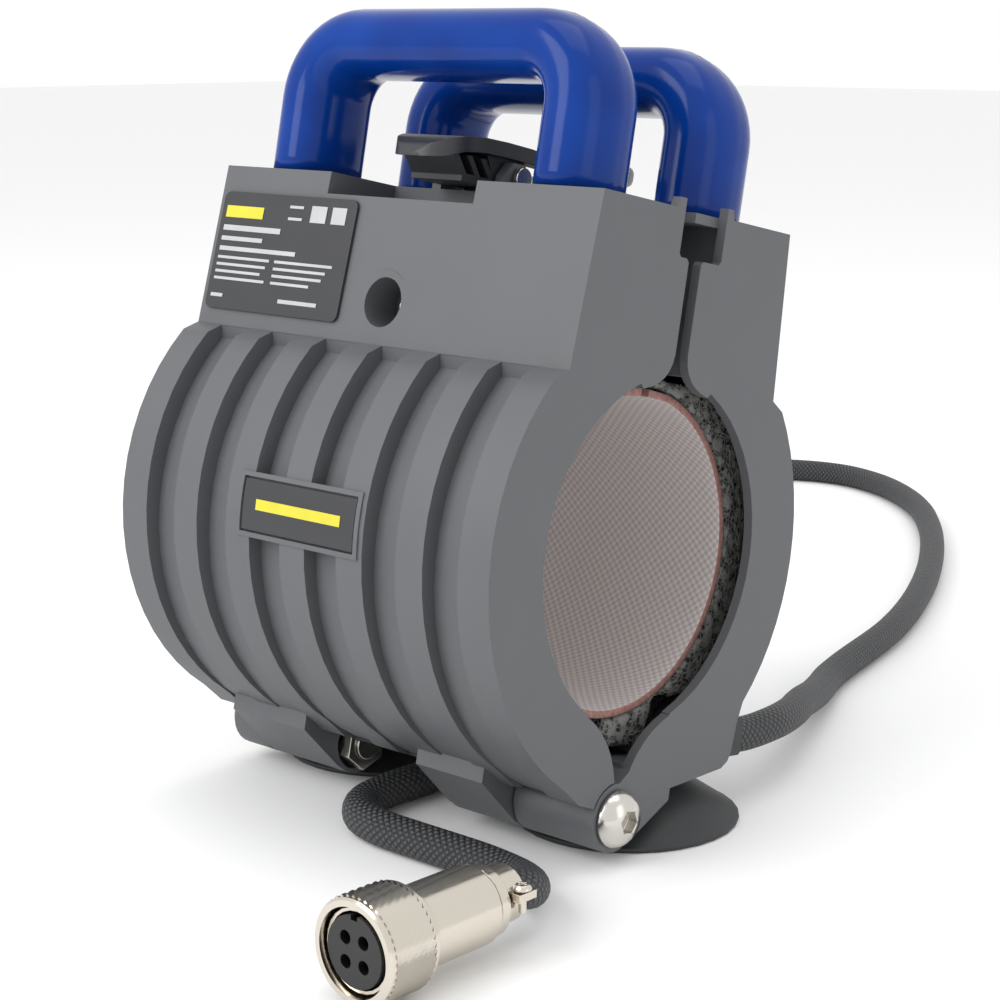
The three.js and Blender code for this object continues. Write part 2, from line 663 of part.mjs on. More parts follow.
function ratingLabel() {
  const width = 49;
  const height = 30.3;
  const corner = 2;
  const shape = new THREE.Shape();
  const w = width / 2 - corner;
  const h = height / 2 - corner;
  shape.absarc(w, h, corner, 0, Math.PI / 2, false);
  shape.absarc(-w, h, corner, Math.PI / 2, Math.PI, false);
  shape.absarc(-w, -h, corner, Math.PI, 1.5 * Math.PI, false);
  shape.absarc(w, -h, corner, 1.5 * Math.PI, 2 * Math.PI, false);
  const plate = new THREE.ExtrudeGeometry(shape, { depth: 0.6, bevelEnabled: false, curveSegments: 6 });
  const middle = 122.1;
  plate.rotateX(Math.PI / 2 - PANEL_SLOPE);
  plate.translate(-36.8, -panelOut(middle) - GAP, middle);
  return solidOf(plate);
}

// Feet: rubber suction cups under the rear half, drawn up by a screw from inside.

function foot() {
  const profile = [
    [0, 3.2], [8, 3], [18, 1.9], [24.6, 0.7], [FOOT_RADIUS - 2.4, 0], [FOOT_RADIUS - 0.6, 0],
    [FOOT_RADIUS, 0.5], [FOOT_RADIUS, 1.3], [26.4, 2.6], [22, 5.6], [17, 9], [12.5, 11.8], [9.5, 13.2], [8, FOOT_PAD_Z - GAP],
    [0, FOOT_PAD_Z - GAP],
  ];
  const bore = cylinderZ(2.2, 7, 20, 0, 0, 20);
  return cut(turned(profile, 32), bore);
}

function footScrew() {
  const shank = cylinderZ(1.9, 7.6, 27, 0, 0, 18);
  const head = cylinderZ(4.6, 26.9, 30, 0, 0, 24);
  return joined(shank, head);
}

// Cord gland: a rubber block seated in the rear shell's heel, held by a flange inside.
function cordGland() {
  const block = polygon([
    [GLAND_FACE, 13], [49.6, 13.4], [50.3, 14.3], [49.6, 22.3], [48.8, 23.1], [GLAND_FACE, 23.1],
  ]);
  const neck = cylinderY(5.6, 27, GLAND_FACE + 1, GLAND_X, GLAND_Z, 24);
  const bore = cylinderY(3.2, 20, 50, GLAND_X, GLAND_Z, 16);
  const socket = cylinderY(CORD_RADIUS + 0.35, 47, 60, GLAND_X, GLAND_Z, 24);
  return cut(joined(alongX(block, GLAND_X - 5.3, HALF - 2.1), neck), bore, socket);
}

// Inside: the thermostat and the link that feeds the other half's mat.

function thermostat() {
  const can = cylinderZ(6.4, 0, 5, 0, 0, 24);
  const flange = cylinderZ(8.2, 5.01, 6.2, 0, 0, 24);
  const tabs = joined(box(-4.6, -2.2, -1, 1, 6, 11), box(2.2, 4.6, -1, 1, 6, 11));
  return joined(can, flange, tabs, cylinderZ(5, 4, 6.2, 0, 0, 20)).translate([18, 19, 107.2]);
}

function terminalBlock() {
  const block = box(-50, -26, 14, 26, 108, 119);
  const ways = [-46, -38, -30].map((x) => cylinderZ(2.2, 114, 125, x, 20, 16));
  return cut(block, ...ways);
}

// Cord on the floor, from the gland round to the connector. Points are set by hand.
const CORD_Z = 4.6;
const CORD_ROUTE = [
  [55.4, 50.8, 18.5], [55.4, 62, 16.9], [54.3, 75, 16.2], [49.6, 90, 14.6], [42.3, 105.5, 12.6],
  [34, 123, 9.2], [25.8, 139, 6.4], [17.2, 157, CORD_Z], [1.1, 214.3, CORD_Z], [-14.5, 253.6, CORD_Z],
  [-38.7, 301.5, CORD_Z], [-70.4, 352.1, CORD_Z], [-100.4, 388.6, CORD_Z], [-132.4, 413, CORD_Z],
  [-160, 421.5, CORD_Z], [-184, 414, CORD_Z], [-199, 393, CORD_Z], [-200, 363, CORD_Z],
  [-187, 328, CORD_Z], [-163, 290, CORD_Z], [-130, 248, CORD_Z], [-90, 201, CORD_Z], [-50, 151, CORD_Z],
  [-24, 107, CORD_Z], [-11, 75, CORD_Z], [-6.6, 50, CORD_Z], [-6, 33, CORD_Z], [-6, 20.4, CORD_Z],
  [-6, 5.1, CORD_Z], [-5.8, -9.4, CORD_Z], [-3.4, -18.4, CORD_Z], [3.2, -25.1, CORD_Z],
  [12, -27.5, CORD_Z], [22, -27.8, CORD_Z], [46, -27.8, CORD_Z], [57, -29.5, 4.9], [66, -33.9, 6.3],
  [72.5, -40.2, 8.5], [75.4, -46.4, 10.9], [CONNECTOR_X, -52.2, CONNECTOR_Z],
];

function cordTube() {
  const points = CORD_ROUTE.map(([x, y, z]) => new THREE.Vector3(x, y, z));
  const path = new THREE.CatmullRomCurve3(points, false, 'centripetal');
  const section = new THREE.Shape();
  section.absarc(0, 0, CORD_RADIUS, 0, 2 * Math.PI, false);
  const geometry = new THREE.ExtrudeGeometry(section, { steps: 76, curveSegments: 5, extrudePath: path });
  return solidOf(geometry);
}

// Connector: a round 4-way socket lying on its side, axis along -Y.

function onConnector(solid) {
  return solid.rotate([90, 0, 0]).translate([CONNECTOR_X, 0, CONNECTOR_Z]);
}

const NUT_FRONT = 98;
const NUT_BACK = 84;
const BODY_BACK = 62;

function couplingNut() {
  const profile = [
    [9.6, NUT_BACK], [11.2, NUT_BACK], [11.9, NUT_BACK + 0.8], [11.9, NUT_FRONT - 0.8],
    [11.2, NUT_FRONT], [9.6, NUT_FRONT], [9.6, NUT_BACK],
  ];
  return onConnector(turned(profile, 32));
}

function connectorBody() {
  const profile = [
    [6.2, BODY_BACK], [8.4, BODY_BACK], [9, BODY_BACK + 0.8], [9, NUT_BACK - 1.4], [10.2, NUT_BACK - 1.4],
    [10.2, NUT_BACK - 0.4], [9.2, NUT_BACK - 0.4], [9.2, NUT_FRONT - 1.6], [8.3, NUT_FRONT - 1.6],
    [8.3, NUT_BACK - 4], [6.2, NUT_BACK - 4], [6.2, BODY_BACK],
  ];
  return onConnector(turned(profile, 24));
}

function insulator() {
  const face = NUT_FRONT - 0.6;
  const post = cylinderZ(7.9, NUT_BACK - 3.7, face, 0, 0, 32);
  const holes = [45, 135, 225, 315].map((degrees) => {
    const angle = THREE.MathUtils.degToRad(degrees);
    return cylinderZ(1.5, face - 8, face + 2, 3.7 * Math.cos(angle), 3.7 * Math.sin(angle), 16);
  });
  const key = box(-0.9, 0.9, 6.8, 9, face - 5, face + 2);
  return onConnector(cut(post, key, ...holes));
}

function rearCollar() {
  const profile = [
    [5, 58.6], [7.6, 58.6], [8.2, 59.2], [8.2, BODY_BACK - GAP], [5, BODY_BACK - GAP], [5, 58.6],
  ];
  const neck = [[5, 52.6], [6.4, 52.6], [6.4, 58.7], [5, 58.7], [5, 52.6]];
  const tongue = cut(turned(neck, 24), box(-8, 8, 0.6, 9, 40, 58.4));
  return onConnector(joined(turned(profile, 24), tongue));
}

function clampSaddle() {
  const profile = [[4.95, 52.7], [6.7, 52.7], [6.7, 58.2], [4.95, 58.2], [4.95, 52.7]];
  const arch = cut(turned(profile, 24), box(-9, 9, -9, 1.4, 40, 62));
  const lugs = joined(box(-9.6, -5.6, 1.4, 3.2, 52.7, 58.2), box(5.6, 9.6, 1.4, 3.2, 52.7, 58.2));
  const bores = [-7.9, 7.9].map((x) => cylinderY(1.1, 0, 5, x, 55.4, 16));
  return onConnector(cut(joined(arch, lugs), ...bores));
}

function clampScrew(x) {
  const screw = crossScrew(2.1, 1.4, 0.9, 5.2).rotate([-90, 0, 0]).translate([x, 3.5, 55.4]);
  return onConnector(screw);
}

const press = new THREE.Group();
press.rotation.x = LEAN;
press.position.z = HINGE_HEIGHT;

press.add(node('rear_shell', rearShell(), shellGrey));
press.add(node('front_shell', frontShell(), shellGrey));
for (const [half, side] of [['rear', REAR], ['front', FRONT]]) {
  press.add(node(`${half}_foam_pad`, foamPad(side), foamGrey));
  press.add(node(`${half}_heater_mat`, heaterMat(side), matPink));
  press.add(node(`${half}_handle`, handle(side), handleBlue));
  press.add(node(`${half}_handle_screw_left`, handleScrew(side, -HANDLE_LEG_X), stainless));
  press.add(node(`${half}_handle_screw_right`, handleScrew(side, HANDLE_LEG_X), stainless));
}
press.add(node('panel_screw', panelScrew(), stainless));
press.add(node('badge_plate', badgePlate(), labelBlack));
press.add(node('rating_label', ratingLabel(), labelBlack));
press.add(node('latch_lever', latchLever(), blackPlastic));
press.add(node('latch_pin', latchPin(), stainless));
press.add(node('draw_rod', drawRod(), stainless));
press.add(node('adjuster_disc', adjusterDisc(), discGrey));
press.add(node('adjuster_screw', adjusterScrew(), stainless));
press.add(node('catch_plate', catchPlate(), blackPlastic));
press.add(node('catch_screw_left', catchScrew(-9.5), stainless));
press.add(node('catch_screw_right', catchScrew(9.5), stainless));
press.add(node('hinge_bolt_near', hingeBolt(1, HALF + GAP, 11.8), stainless));
press.add(node('hinge_bolt_far', hingeBolt(-1, -HALF - GAP, -19.8), stainless));
press.add(node('hinge_nut_near', hingeNut(12.6, 19), stainless));
press.add(node('hinge_nut_far', hingeNut(-27, -20.6), stainless));
press.add(node('cord_gland', cordGland(), rubberBlack));
press.add(node('thermostat', thermostat(), stainless));
press.add(node('terminal_block', terminalBlock(), insulatorBlack));

const model = new THREE.Group();
model.position.y = -MIDDLE_Y;
model.add(press);
for (const [name, x] of [['left', -FOOT_X], ['right', FOOT_X]]) {
  const cup = node(`foot_${name}`, foot(), rubberBlack);
  cup.position.set(x, FOOT_Y, 0);
  const screw = node(`foot_screw_${name}`, footScrew(), stainless);
  screw.position.set(x, FOOT_Y, 0);
  model.add(cup, screw);
}
model.add(node('cord', cordTube(), braidBlack));
model.add(node('coupling_nut', couplingNut(), nickel));
model.add(node('connector_body', connectorBody(), nickel));
model.add(node('insulator', insulator(), insulatorBlack));
model.add(node('connector_collar', rearCollar(), nickel));
model.add(node('clamp_saddle', clampSaddle(), nickel));
model.add(node('clamp_screw_left', clampScrew(-7.9), nickel));
model.add(node('clamp_screw_right', clampScrew(7.9), nickel));

export default model;
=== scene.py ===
import math

import bmesh
import bpy
from mathutils import Matrix, Vector


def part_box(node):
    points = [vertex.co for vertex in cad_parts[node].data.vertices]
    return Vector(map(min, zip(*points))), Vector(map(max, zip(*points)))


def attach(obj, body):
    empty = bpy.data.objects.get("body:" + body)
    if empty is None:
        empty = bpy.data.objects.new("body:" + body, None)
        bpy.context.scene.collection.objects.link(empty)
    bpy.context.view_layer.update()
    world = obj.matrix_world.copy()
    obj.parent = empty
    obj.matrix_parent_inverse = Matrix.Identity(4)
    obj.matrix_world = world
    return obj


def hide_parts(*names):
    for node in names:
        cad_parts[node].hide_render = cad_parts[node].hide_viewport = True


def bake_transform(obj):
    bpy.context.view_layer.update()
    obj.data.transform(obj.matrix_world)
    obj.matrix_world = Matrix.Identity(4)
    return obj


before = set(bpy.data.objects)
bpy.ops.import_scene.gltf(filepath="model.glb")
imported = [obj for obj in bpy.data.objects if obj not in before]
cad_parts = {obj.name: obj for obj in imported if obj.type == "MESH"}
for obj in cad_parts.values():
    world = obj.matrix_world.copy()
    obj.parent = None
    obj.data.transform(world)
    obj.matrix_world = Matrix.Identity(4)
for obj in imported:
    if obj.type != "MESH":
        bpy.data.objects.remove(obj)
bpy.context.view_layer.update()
MM = 0.001

# Camera: a short telephoto from the hinge end, a little above the latch, so the ribs, the end
# walls and the bore all show.
camera_data = bpy.data.cameras.new("camera")
camera_data.lens = 81.84
camera_data.sensor_width = 36
camera = bpy.data.objects.new("camera", camera_data)
camera.location = (389.4 * MM, -410.0 * MM, 195.2 * MM)
camera.rotation_euler = (math.radians(78.26), 0, math.radians(42.58))
bpy.context.scene.collection.objects.link(camera)
bpy.context.scene.camera = camera

# Supply cord: four insulated conductors in a loose nylon braid, 9 mm across. It leaves the rubber
# gland at the heel of the rear shell, lies in one long loop behind the press, and comes back
# between the feet to the connector.
cord_radius = 4.5 * MM
floor_height = 4.6
cord_route_mm = [
    (55.4, 35.7, 18.5), (55.4, 46.9, 16.9), (54.3, 59.9, 16.2), (49.6, 74.9, 14.6), (42.3, 90.4, 12.6),
    (34, 107.9, 9.2), (25.8, 123.9, 6.4), (17.2, 141.9, floor_height),
    (1.1, 199.2, floor_height), (-14.5, 238.5, floor_height), (-38.7, 286.4, floor_height),
    (-70.4, 337, floor_height), (-100.4, 373.5, floor_height), (-132.4, 397.9, floor_height),
    (-160, 406.4, floor_height), (-184, 398.9, floor_height), (-199, 377.9, floor_height),
    (-200, 347.9, floor_height), (-187, 312.9, floor_height), (-163, 274.9, floor_height),
    (-130, 232.9, floor_height), (-90, 185.9, floor_height), (-50, 135.9, floor_height),
    (-24, 91.9, floor_height), (-11, 59.9, floor_height), (-6.6, 34.9, floor_height),
    (-6, 17.9, floor_height), (-6, 5.3, floor_height), (-6, -10, floor_height),
    (-5.8, -24.5, floor_height), (-3.4, -33.5, floor_height), (3.2, -40.2, floor_height),
    (12, -42.6, floor_height), (22, -42.9, floor_height), (46, -42.9, floor_height),
    (57, -44.6, 4.9), (66, -49, 6.3), (72.5, -55.3, 8.5), (75.4, -61.5, 10.9), (76, -67.3, 12.2),
]


def smooth_route(points, steps):
    """A centripetal spline through the points, so that the cord bends as a springy lead does."""
    ends = [2 * points[0] - points[1]] + points + [2 * points[-1] - points[-2]]
    route = []
    for a, b, c, d in zip(ends, ends[1:], ends[2:], ends[3:]):
        ab, bc, cd = ((q - p).length ** 0.5 for p, q in ((a, b), (b, c), (c, d)))
        leave = ((b - a) / ab - (c - a) / (ab + bc) + (c - b) / bc) * bc
        arrive = ((c - b) / bc - (d - b) / (bc + cd) + (d - c) / cd) * bc
        for step in range(steps):
            t = step / steps
            route.append(
                (2 * t**3 - 3 * t**2 + 1) * b
                + (t**3 - 2 * t**2 + t) * leave
                + (3 * t**2 - 2 * t**3) * c
                + (t**3 - t**2) * arrive
            )
    return route + [points[-1].copy()]


def link_mesh(name, bm):
    mesh = bpy.data.meshes.new(name)
    bm.to_mesh(mesh)
    bm.free()
    mesh.polygons.foreach_set("use_smooth", [True] * len(mesh.polygons))
    piece = bpy.data.objects.new(name, mesh)
    bpy.context.scene.collection.objects.link(piece)
    return piece


def tube(name, route, radius, sides):
    """A capped tube along the route. Its UV map holds turns round the tube and metres along it."""
    bm = bmesh.new()
    uv = bm.loops.layers.uv.new("UVMap")
    rings, distances = [], [0.0]
    side = Vector((0, 0, 1))
    for i, point in enumerate(route):
        ahead = (route[min(i + 1, len(route) - 1)] - route[max(i - 1, 0)]).normalized()
        side = (side - ahead * side.dot(ahead)).normalized()
        other = ahead.cross(side)
        if i:
            distances.append(distances[-1] + (point - route[i - 1]).length)
        ring = []
        for k in range(sides):
            angle = 2 * math.pi * k / sides
            outward = side * math.cos(angle) + other * math.sin(angle)
            ring.append(bm.verts.new(point + outward * radius))
        rings.append(ring)
    for i in range(len(rings) - 1):
        for k in range(sides):
            after = (k + 1) % sides
            face = bm.faces.new((rings[i][k], rings[i][after], rings[i + 1][after], rings[i + 1][k]))
            corners = ((k, i), (k + 1, i), (k + 1, i + 1), (k, i + 1))
            for loop, (turn, along) in zip(face.loops, corners):
                loop[uv].uv = (turn / sides, distances[along])
    bm.faces.new(rings[0][::-1])
    bm.faces.new(rings[-1])
    bmesh.ops.recalc_face_normals(bm, faces=bm.faces[:])
    return link_mesh(name, bm), distances[-1]


def linear(code):
    """A hex sRGB colour as linear RGBA."""
    parts = [int(code[i : i + 2], 16) / 255 for i in (0, 2, 4)]
    return (*[c / 12.92 if c <= 0.04045 else ((c + 0.055) / 1.055) ** 2.4 for c in parts], 1)


def add_node(material, kind, settings=None, links=None):
    """A shader node with its settings. A link is a value for the socket, or another node's output."""
    made = material.node_tree.nodes.new("ShaderNode" + kind)
    for name, value in (settings or {}).items():
        setattr(made, name, value)
    for name, value in (links or {}).items():
        if isinstance(value, bpy.types.NodeSocket):
            material.node_tree.links.new(value, made.inputs[name])
        else:
            made.inputs[name].default_value = value
    return made


def new_material(name, base, roughness, metallic=0.0, ior=1.5):
    material = bpy.data.materials.new(name)
    material.use_nodes = True
    shader = material.node_tree.nodes["Principled BSDF"]
    shader.inputs["Base Color"].default_value = linear(base)
    shader.inputs["Roughness"].default_value = roughness
    shader.inputs["Metallic"].default_value = metallic
    if not metallic:
        shader.inputs["IOR"].default_value = ior
    material.diffuse_color = linear(base)
    return material, shader


def braided_nylon():
    """Nylon monofilament braid: two sets of flat bundles cross at about 45 degrees, dark, with a dry
    glint painted lighter on each crossing and shade painted darker between the bundles. Real bundles
    are about 1.1 mm apart."""
    material, shader = new_material("braided_nylon", "1d1e20", 0.55, ior=1.53)
    place = add_node(material, "UVMap", {"uv_map": "UVMap"})
    parts = add_node(material, "SeparateXYZ", links={"Vector": place.outputs["UV"]})
    bundles, per_metre = 13, 480
    times, plus, minus = ({"operation": word} for word in ("MULTIPLY", "ADD", "SUBTRACT"))
    turn = add_node(material, "Math", times, {0: parts.outputs["X"], 1: bundles})
    along = add_node(material, "Math", times, {0: parts.outputs["Y"], 1: per_metre})
    right = add_node(material, "Math", plus, {0: turn.outputs[0], 1: along.outputs[0]})
    left = add_node(material, "Math", minus, {0: turn.outputs[0], 1: along.outputs[0]})
    crests = []
    for strand in (right, left):
        phase = add_node(material, "Math", times, {0: strand.outputs[0], 1: math.pi})
        wave = add_node(material, "Math", {"operation": "SINE"}, {0: phase.outputs[0]})
        crests.append(add_node(material, "Math", {"operation": "ABSOLUTE"}, {0: wave.outputs[0]}))
    height = add_node(
        material, "Math", {"operation": "MULTIPLY"}, {0: crests[0].outputs[0], 1: crests[1].outputs[0]}
    )
    # Painted light: the bundle crossings are painted lighter as a highlight and the hollows between
    # them darker as shade; the same height drives the bump.
    colour = add_node(
        material,
        "MixRGB",
        links={"Fac": height.outputs[0], "Color1": linear("0a0a0b"), "Color2": linear("4a4c50")},
    )
    bump = add_node(
        material, "Bump", links={"Strength": 0.9, "Distance": 0.0006, "Height": height.outputs[0]}
    )
    material.node_tree.links.new(colour.outputs[0], shader.inputs["Base Color"])
    material.node_tree.links.new(bump.outputs[0], shader.inputs["Normal"])
    return material


route = smooth_route([Vector(p) * MM for p in cord_route_mm], 8)
for point in route:
    point.z = max(point.z, cord_radius)
cord, cord_length = tube("braided_cord", route, cord_radius, 20)
cord.data.materials.append(braided_nylon())

# Shells: the two halves are injection moulded in grey flame-retardant plastic with a fine
# spark-eroded texture. Edges are broken by a small mould radius.


def spark_eroded_plastic(name, base, grain_mm=0.7, depth_mm=0.02, roughness=0.52):
    """Moulded engineering plastic: an even, slightly cloudy colour and a fine grain that softens
    highlights. The grain is drawn coarser than the real 0.2 mm so that it shows."""
    material, shader = new_material(name, base, roughness, ior=1.52)
    place = add_node(material, "TexCoord")
    grain = add_node(
        material,
        "TexNoise",
        links={"Vector": place.outputs["Object"], "Scale": 1 / (grain_mm * MM), "Detail": 3.0},
    )
    cloud = add_node(
        material, "TexNoise", links={"Vector": place.outputs["Object"], "Scale": 45.0, "Detail": 4.0}
    )
    shade = add_node(
        material,
        "MapRange",
        links={"Value": cloud.outputs["Fac"], "To Min": 0.9, "To Max": 1.1},
    )
    tint = add_node(
        material,
        "MixRGB",
        {"blend_type": "MULTIPLY"},
        {"Fac": 1.0, "Color1": linear(base), "Color2": shade.outputs["Result"]},
    )
    rough = add_node(
        material,
        "MapRange",
        links={"Value": cloud.outputs["Fac"], "To Min": roughness - 0.07, "To Max": roughness + 0.07},
    )
    bump = add_node(
        material,
        "Bump",
        links={"Strength": 0.5, "Distance": depth_mm * MM * 4, "Height": grain.outputs["Fac"]},
    )
    material.node_tree.links.new(tint.outputs[0], shader.inputs["Base Color"])
    material.node_tree.links.new(rough.outputs["Result"], shader.inputs["Roughness"])
    material.node_tree.links.new(bump.outputs[0], shader.inputs["Normal"])
    return material


def dress(name, material, edge_mm=0.3):
    """A CAD piece as it came from the mould or the lathe: its material and a small broken edge."""
    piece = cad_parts[name]
    piece.data.materials.clear()
    piece.data.materials.append(material)
    piece.data.polygons.foreach_set("use_smooth", [True] * len(piece.data.polygons))
    weld = piece.modifiers.new("weld", "WELD")
    weld.merge_threshold = 2e-6
    flat = piece.modifiers.new("flat", "DECIMATE")
    flat.decimate_type = "DISSOLVE"
    flat.angle_limit = math.radians(0.6)
    if edge_mm:
        edge = piece.modifiers.new("edge", "BEVEL")
        edge.width = edge_mm * MM
        edge.segments = 2
        edge.limit_method = "ANGLE"
        edge.angle_limit = math.radians(32)
        edge.use_clamp_overlap = True
    even = piece.modifiers.new("even", "WEIGHTED_NORMAL")
    even.keep_sharp = True
    even.weight = 80
    return piece


shell_plastic = spark_eroded_plastic("moulded_grey_plastic", "56585b")
for shell in ("front_shell", "rear_shell"):
    dress(shell, shell_plastic, 0.45)

# The whole press leans back on its feet about the hinge line, so pieces drawn square to the
# parting plane are turned with it.
bolt_low, bolt_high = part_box("hinge_bolt_near")
hinge = Vector((0, (bolt_low.y + bolt_high.y) / 2, (bolt_low.z + bolt_high.z) / 2))
lean_angle = math.radians(-11.9)
lean = Matrix.Translation(hinge) @ Matrix.Rotation(lean_angle, 4, "X")


def leaning(x, y, z):
    """A point given in mm from the hinge line, square to the parting plane, in the press's frame."""
    return lean @ Vector((x * MM, y * MM, z * MM))


# Handles: glossy blue moulded U handles, one on each half, with the mould's parting line running
# round the outside of the bow.
handle_leg, handle_top, handle_bend, handle_foot = 44.3, 178, 15, 144.35
handle_out = 22.6
handle_thick, handle_depth = 17, 25
handle_squareness, handle_sides = 0.85, 48
leg_step, parting_ridge = 3.2, 0.25


def glossy_blue():
    """Glossy polypropylene: saturated and slightly see-through at the surface, with clean
    reflections that a faint flow ripple bends."""
    material, shader = new_material("glossy_blue_plastic", "0a3a94", 0.16, ior=1.49)
    shader.inputs["Specular IOR Level"].default_value = 0.2
    place = add_node(material, "TexCoord")
    ripple = add_node(
        material, "TexNoise", links={"Vector": place.outputs["Object"], "Scale": 60.0, "Detail": 1.0}
    )
    tone = add_node(
        material,
        "MixRGB",
        links={"Fac": ripple.outputs["Fac"], "Color1": linear("03246c"), "Color2": linear("063c90")},
    )
    bump = add_node(
        material, "Bump", links={"Strength": 0.08, "Distance": 0.001, "Height": ripple.outputs["Fac"]}
    )
    material.node_tree.links.new(tone.outputs[0], shader.inputs["Base Color"])
    material.node_tree.links.new(bump.outputs[0], shader.inputs["Normal"])
    return material


def bow_stations():
    """Centre line of the bow as (x, z, heading) from one foot to the other, in mm and radians."""
    legs = [handle_foot + step * leg_step for step in range(6)]
    stations = [(-handle_leg, z, math.pi) for z in legs]
    for centre, start, end in (
        (-handle_leg + handle_bend, 180, 90),
        (handle_leg - handle_bend, 90, 0),
    ):
        for step in range(13):
            angle = math.radians(start + (end - start) * step / 12)
            x = centre + handle_bend * math.cos(angle)
            stations.append((x, handle_top - handle_bend + handle_bend * math.sin(angle), angle))
    return stations + [(handle_leg, z, 0.0) for z in reversed(legs)]


def squared(part):
    """A sine or cosine bent so that the section lies between an ellipse and a rectangle."""
    return math.copysign(abs(part) ** handle_squareness, part)


def bow(name, side):
    bm = bmesh.new()
    rings = []
    for x, z, heading in bow_stations():
        ring = []
        for k in range(handle_sides):
            turn = 2 * math.pi * k / handle_sides
            across = squared(math.cos(turn)) * handle_thick / 2
            along = squared(math.sin(turn)) * handle_depth / 2
            if k == 0:
                across += parting_ridge
            px, pz = x + across * math.cos(heading), z + across * math.sin(heading)
            ring.append(bm.verts.new(leaning(px, side * handle_out + along, pz)))
        rings.append(ring)
    for near, far in zip(rings, rings[1:]):
        for k in range(handle_sides):
            after = (k + 1) % handle_sides
            bm.faces.new((near[k], near[after], far[after], far[k]))
    bm.faces.new(rings[0])
    bm.faces.new(rings[-1])
    bmesh.ops.recalc_face_normals(bm, faces=bm.faces[:])
    return link_mesh(name, bm)


blue = glossy_blue()
for half, side in (("front", -1), ("rear", 1)):
    handle = bow(f"{half}_bow", side)
    handle.data.materials.append(blue)
    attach(handle, f"{half}_half")
    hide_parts(f"{half}_handle")

# Heating mat: one sheet of fabric-faced silicone rubber with the heating wire inside. It lines
# both halves; the stretches in the halves move with them, and the stretch at the bottom, where the
# real mat bends when the press opens, is a piece of its own that is not attached to either half.
mat_radius, mat_thick, mat_centre = 38.0, 1.9, 62
mat_half_length = 54.3
lip_angle, lip_reach, lip_drop = 167, 1.4, 0.4


def silicone_cloth():
    """Silicone rubber cured against glass cloth: a dusty pale face printed with the weave, threads
    about 0.8 mm apart, drawn at 1.1 mm so that they show."""
    material, shader = new_material("silicone_heater_cloth", "c4bcba", 0.5, ior=1.41)
    shader.inputs["Sheen Weight"].default_value = 0.15
    place = add_node(material, "UVMap", {"uv_map": "UVMap"})
    parts = add_node(material, "SeparateXYZ", links={"Vector": place.outputs["UV"]})
    threads = []
    for axis in ("X", "Y"):
        phase = add_node(
            material,
            "Math",
            {"operation": "MULTIPLY"},
            {0: parts.outputs[axis], 1: math.pi / (1.1 * MM)},
        )
        threads.append(add_node(material, "Math", {"operation": "SINE"}, {0: phase.outputs[0]}))
    weave = add_node(
        material,
        "Math",
        {"operation": "MULTIPLY"},
        {0: threads[0].outputs[0], 1: threads[1].outputs[0]},
    )
    level = add_node(material, "MapRange", links={"Value": weave.outputs[0], "From Min": -1.0})
    tone = add_node(
        material,
        "MixRGB",
        links={"Fac": level.outputs["Result"], "Color1": linear("a79f9e"), "Color2": linear("d2cac7")},
    )
    bump = add_node(
        material,
        "Bump",
        links={"Strength": 0.5, "Distance": 0.00015, "Height": level.outputs["Result"]},
    )
    material.node_tree.links.new(tone.outputs[0], shader.inputs["Base Color"])
    material.node_tree.links.new(bump.outputs[0], shader.inputs["Normal"])
    return material


def cut_edge_rubber():
    """The mat's cut edge shows the reddish silicone core between its two faces."""
    material, shader = new_material("cut_silicone_edge", "8d5f59", 0.6, ior=1.41)
    place = add_node(material, "TexCoord")
    fleck = add_node(
        material, "TexNoise", links={"Vector": place.outputs["Object"], "Scale": 700.0, "Detail": 2.0}
    )
    tone = add_node(
        material,
        "MixRGB",
        links={"Fac": fleck.outputs["Fac"], "Color1": linear("5f3d3b"), "Color2": linear("b98d84")},
    )
    material.node_tree.links.new(tone.outputs[0], shader.inputs["Base Color"])
    return material


def mat_section():
    """The mat's section from lip to lip as (y, z, outward y, outward z), in mm from the hinge."""
    section = []
    steps = 120
    for step in range(steps + 1):
        angle = math.radians(-90 + lip_angle * (2 * step / steps - 1))
        y, z = math.cos(angle), math.sin(angle)
        section.append((mat_radius * y, mat_centre + mat_radius * z, y, z))
    lip_height = mat_centre + mat_radius - lip_drop
    return [(-lip_reach, lip_height, 0, 1)] + section + [(lip_reach, lip_height, 0, 1)]


def lining(name, section, run, capped):
    """A stretch of the mat along part of its section. Only the lips are closed with a cut edge."""
    bm = bmesh.new()
    uv = bm.loops.layers.uv.new("UVMap")
    columns = 26
    faces_in, faces_out = [], []
    for y, z, oy, oz in section:
        row_in, row_out = [], []
        for column in range(columns + 1):
            x = mat_half_length * (2 * column / columns - 1)
            row_in.append(bm.verts.new(leaning(x, y, z)))
            row_out.append(bm.verts.new(leaning(x, y + oy * mat_thick, z + oz * mat_thick)))
        faces_in.append(row_in)
        faces_out.append(row_out)
    for i in range(len(section) - 1):
        for k in range(columns):
            for rows in (faces_in, faces_out):
                face = bm.faces.new((rows[i][k], rows[i][k + 1], rows[i + 1][k + 1], rows[i + 1][k]))
                for loop, (a, b) in zip(face.loops, ((k, i), (k + 1, i), (k + 1, i + 1), (k, i + 1))):
                    loop[uv].uv = (2 * mat_half_length * MM * a / columns, run[b])
        for k in (0, columns):
            edge = (faces_in[i][k], faces_in[i + 1][k], faces_out[i + 1][k], faces_out[i][k])
            bm.faces.new(edge).material_index = 1
    for i in capped:
        for k in range(columns):
            edge = (faces_in[i][k], faces_in[i][k + 1], faces_out[i][k + 1], faces_out[i][k])
            bm.faces.new(edge).material_index = 1
    bmesh.ops.recalc_face_normals(bm, faces=bm.faces[:])
    return link_mesh(name, bm)


